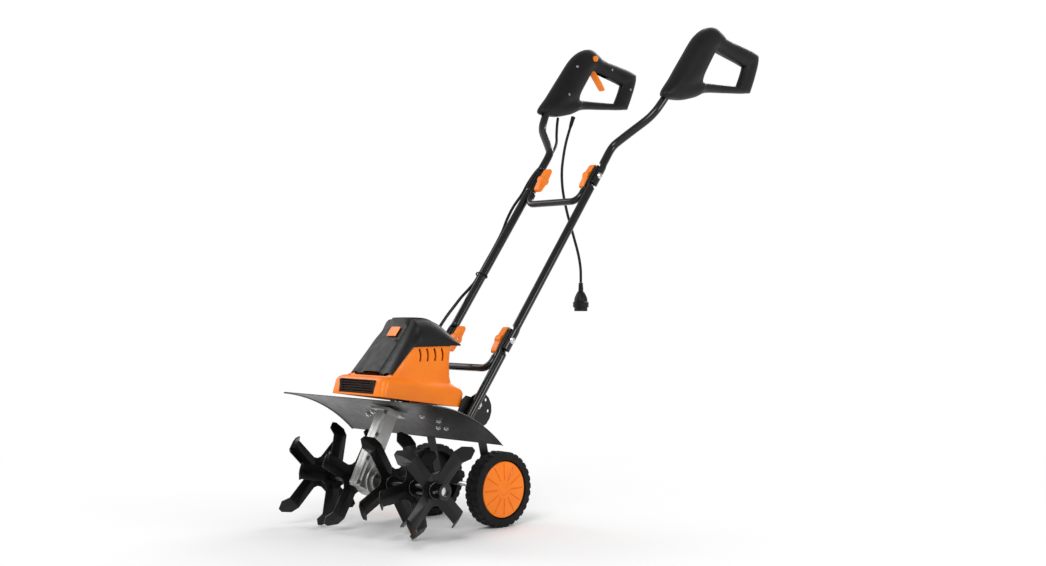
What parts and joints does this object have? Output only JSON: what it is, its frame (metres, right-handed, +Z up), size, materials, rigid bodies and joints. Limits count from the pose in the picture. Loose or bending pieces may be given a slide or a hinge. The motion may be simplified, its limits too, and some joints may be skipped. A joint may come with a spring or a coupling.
{
  "type": "electric garden tiller",
  "caption": "Corded electric tiller with star tines under an arched guard, a slanted motor housing, rear wheels and a folding handle with D-grips.",
  "frame": {"origin": "centre of the bounding box at ground level, cord left out", "axes": "+Z up, -Y forward past the tines, +X to the operator's left"},
  "size_m": [0.502, 1.158, 1.14],
  "materials": {
    "orange_plastic": "satin moulded plastic",
    "black_plastic": "fine spark texture",
    "black_enamel": "gloss enamel",
    "black_powder": "satin powder coat",
    "cast_aluminium": "as cast",
    "bright_steel": "zinc plated",
    "dark_steel": "laminated, oiled",
    "copper": "enamelled winding",
    "bronze": "cut bronze",
    "tyre": "matte",
    "cord_jacket": "matte jacket"
  },
  "bodies": {
    "chassis": {"guard": "black_powder", "housing": "orange_plastic", "top_cover": "black_plastic", "front_grille": "black_plastic", "motor_stator": "dark_steel", "motor_end_bracket": "black_plastic", "gearbox_left": "cast_aluminium", "gearbox_right": "cast_aluminium", "tine_bearing_left": "bright_steel", "tine_bearing_right": "bright_steel", "handle_bracket_left": "black_powder", "handle_bracket_right": "black_powder", "wheel_pivot_rod": "bright_steel", "lower_tube_left": "black_enamel", "lower_tube_right": "black_enamel", "lower_crossbar": "black_enamel", "bolt_lower_left": "bright_steel", "bolt_lower_right": "bright_steel", "motor_cable_lower": "cord_jacket"},
    "rotor": {"worm_shaft": "dark_steel", "armature": "copper", "cooling_fan": "black_plastic"},
    "tine_rotor": {"tine_shaft": "bright_steel", "worm_wheel": "bronze", "hub_tube_left": "black_enamel", "hub_tube_right": "black_enamel", "tine_inner_left": "black_enamel", "tine_inner_right": "black_enamel", "tine_middle_left": "black_enamel", "tine_middle_right": "black_enamel", "tine_outer_left": "black_enamel", "tine_outer_right": "black_enamel"},
    "wheel_carrier": {"wheel_bracket": "black_powder", "axle": "bright_steel"},
    "wheel_left": {"tyre_left": "tyre", "wheel_cap_left": "orange_plastic"},
    "wheel_right": {"tyre_right": "tyre", "wheel_cap_right": "orange_plastic"},
    "mid_handle": {"mid_tube_left": "black_enamel", "mid_tube_right": "black_enamel", "upper_crossbar": "black_enamel", "bolt_upper_left": "bright_steel", "bolt_upper_right": "bright_steel", "motor_cable_upper": "cord_jacket"},
    "upper_handle_left": {"upper_tube_left": "black_enamel", "handle_inner_left": "black_plastic", "handle_outer_left": "black_plastic"},
    "upper_handle_right": {"upper_tube_right": "black_enamel", "handle_inner_right": "black_plastic", "handle_outer_right": "black_plastic", "switch_body": "black_plastic", "cord_gland": "black_plastic", "supply_cord": "cord_jacket", "plug": "black_plastic"},
    "trigger": {"trigger_lever": "orange_plastic"},
    "lock_off": {"lock_button": "orange_plastic"},
    "knob_lower_left": {"knob_lower_left": "orange_plastic"},
    "knob_lower_right": {"knob_lower_right": "orange_plastic"},
    "knob_upper_left": {"knob_upper_left": "orange_plastic"},
    "knob_upper_right": {"knob_upper_right": "orange_plastic"}
  },
  "joints": [
    {"name": "tine_spin", "type": "hinge", "parent": "chassis", "child": "tine_rotor", "pos_m": [0, -0.469, 0.1103], "axis": [1, 0, 0], "continuous": true},
    {"name": "motor_spin", "type": "hinge", "parent": "chassis", "child": "rotor", "pos_m": [0, -0.499, 0.11], "axis": [0, 0.4462, 0.8949], "continuous": true},
    {"name": "wheel_height", "type": "hinge", "parent": "chassis", "child": "wheel_carrier", "pos_m": [0, -0.261, 0.261], "axis": [1, 0, 0], "range_deg": [0, 60]},
    {"name": "fold_mid", "type": "hinge", "parent": "chassis", "child": "mid_handle", "pos_m": [0, -0.17817, 0.396], "axis": [1, 0, 0], "range_deg": [0, 118], "deforming": ["motor_cable_lower"]},
    {"name": "wheel_spin_left", "type": "hinge", "parent": "wheel_carrier", "child": "wheel_left", "pos_m": [0.111, -0.219, 0.0803], "axis": [1, 0, 0], "continuous": true},
    {"name": "fold_upper_left", "type": "hinge", "parent": "mid_handle", "child": "upper_handle_left", "pos_m": [0.102, 0.09934, 0.77], "axis": [1, 0, 0], "range_deg": [-140, 0]},
    {"name": "knob_spin_lower_left", "type": "hinge", "parent": "chassis", "child": "knob_lower_left", "pos_m": [0.0828, -0.17817, 0.396], "axis": [1, 0, 0], "continuous": true},
    {"name": "knob_spin_upper_left", "type": "hinge", "parent": "mid_handle", "child": "knob_upper_left", "pos_m": [0.0828, 0.09934, 0.77], "axis": [1, 0, 0], "continuous": true},
    {"name": "wheel_spin_right", "type": "hinge", "parent": "wheel_carrier", "child": "wheel_right", "pos_m": [-0.111, -0.219, 0.0803], "axis": [1, 0, 0], "continuous": true},
    {"name": "fold_upper_right", "type": "hinge", "parent": "mid_handle", "child": "upper_handle_right", "pos_m": [-0.102, 0.09934, 0.77], "axis": [1, 0, 0], "range_deg": [-140, 0], "deforming": ["motor_cable_upper"]},
    {"name": "knob_spin_lower_right", "type": "hinge", "parent": "chassis", "child": "knob_lower_right", "pos_m": [-0.0828, -0.17817, 0.396], "axis": [1, 0, 0], "continuous": true},
    {"name": "knob_spin_upper_right", "type": "hinge", "parent": "mid_handle", "child": "knob_upper_right", "pos_m": [-0.0828, 0.09934, 0.77], "axis": [1, 0, 0], "continuous": true},
    {"name": "trigger_pull", "type": "hinge", "parent": "upper_handle_right", "child": "trigger", "pos_m": [-0.203, 0.4, 1.092], "axis": [1, 0, 0], "range_deg": [0, 18], "stiffness_Nm_per_rad": 0.8, "springref_deg": -17.19},
    {"name": "lock_off_press", "type": "slide", "parent": "upper_handle_right", "child": "lock_off", "axis": [-1, 0, 0], "range_m": [0, 0.004], "stiffness_N_per_m": 400, "springref_m": -0.003}
  ],
  "couplings": [
    {"joint": "motor_spin", "follows": "tine_spin", "ratio": 20}
  ]
}
